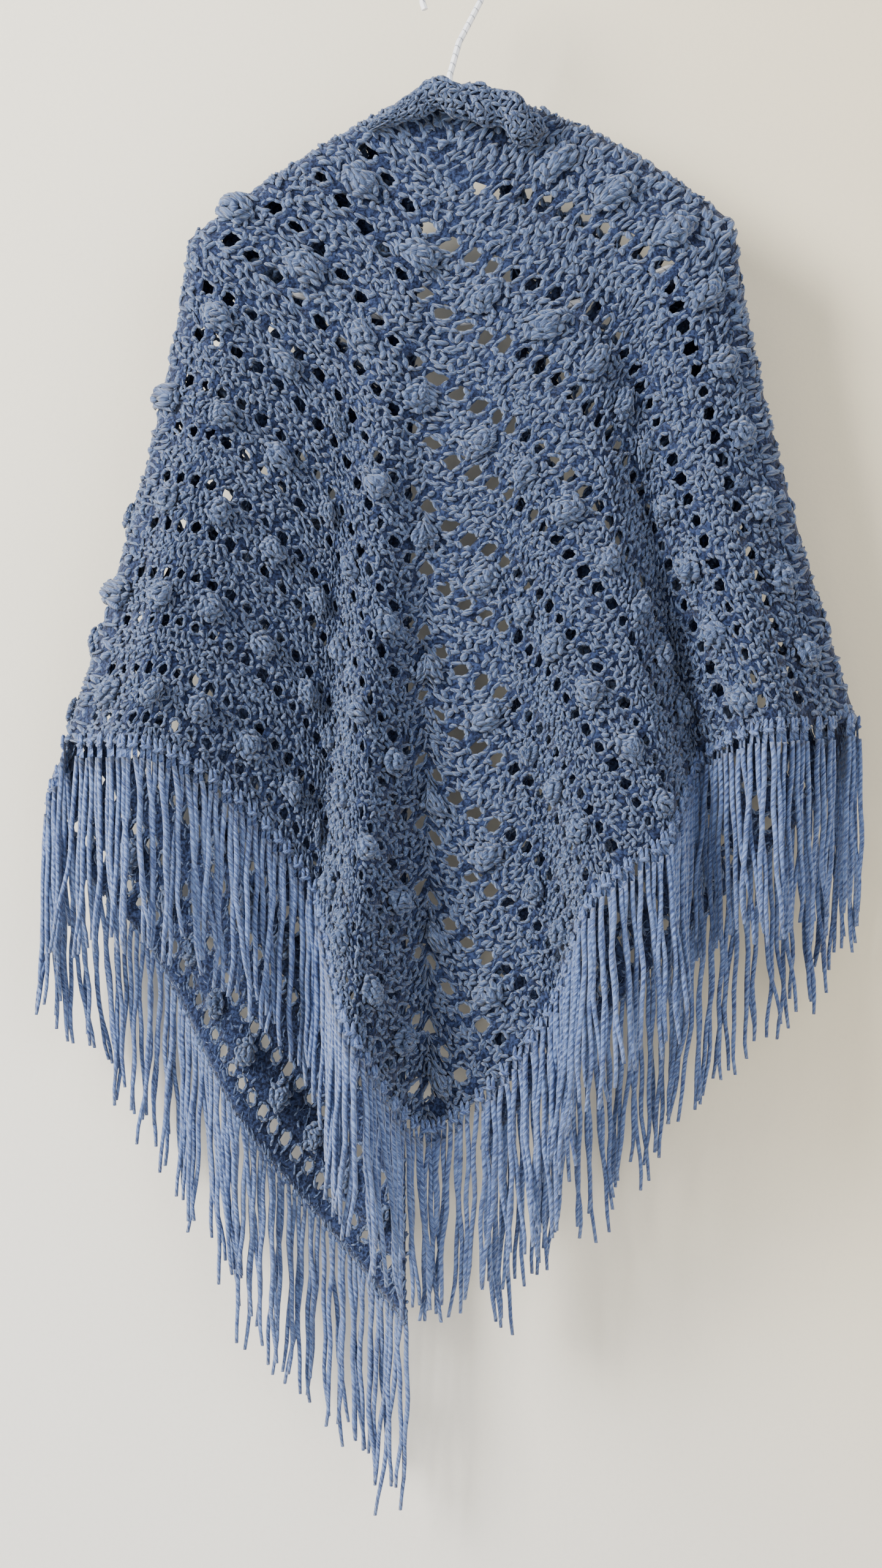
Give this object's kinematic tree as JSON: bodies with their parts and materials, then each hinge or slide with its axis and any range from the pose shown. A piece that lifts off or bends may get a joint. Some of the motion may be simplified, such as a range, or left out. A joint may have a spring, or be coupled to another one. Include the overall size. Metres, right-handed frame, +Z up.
{
  "type": "crochet shawl on wire hanger",
  "caption": "Fringed triangular crochet shawl in blue-grey wool, hung like a cape on a white wire hanger, with eyelet rows and bobbles.",
  "frame": {"origin": "inner top of the hanger's hook, where it bears on a rail", "axes": "+Z up; +X to the right seen from the shawl's back; +Y towards the wall that it hangs against"},
  "size_m": [0.6234, 0.1604, 1.178],
  "materials": {
    "yarn": "soft marled wool blend, crocheted, matt with a fine halo",
    "fringe": "the same yarn in loose knotted strands",
    "hanger": "white plastic-coated wire, satin"
  },
  "bodies": {
    "root": {"back_panel": "yarn", "wing_left": "yarn", "wing_right": "yarn", "neck_roll": "yarn", "fringe_back_left": "fringe", "fringe_back_right": "fringe", "fringe_wing_left": "fringe", "fringe_wing_right": "fringe", "hanger_hook": "hanger", "hanger_frame": "hanger"}
  },
  "joints": []
}
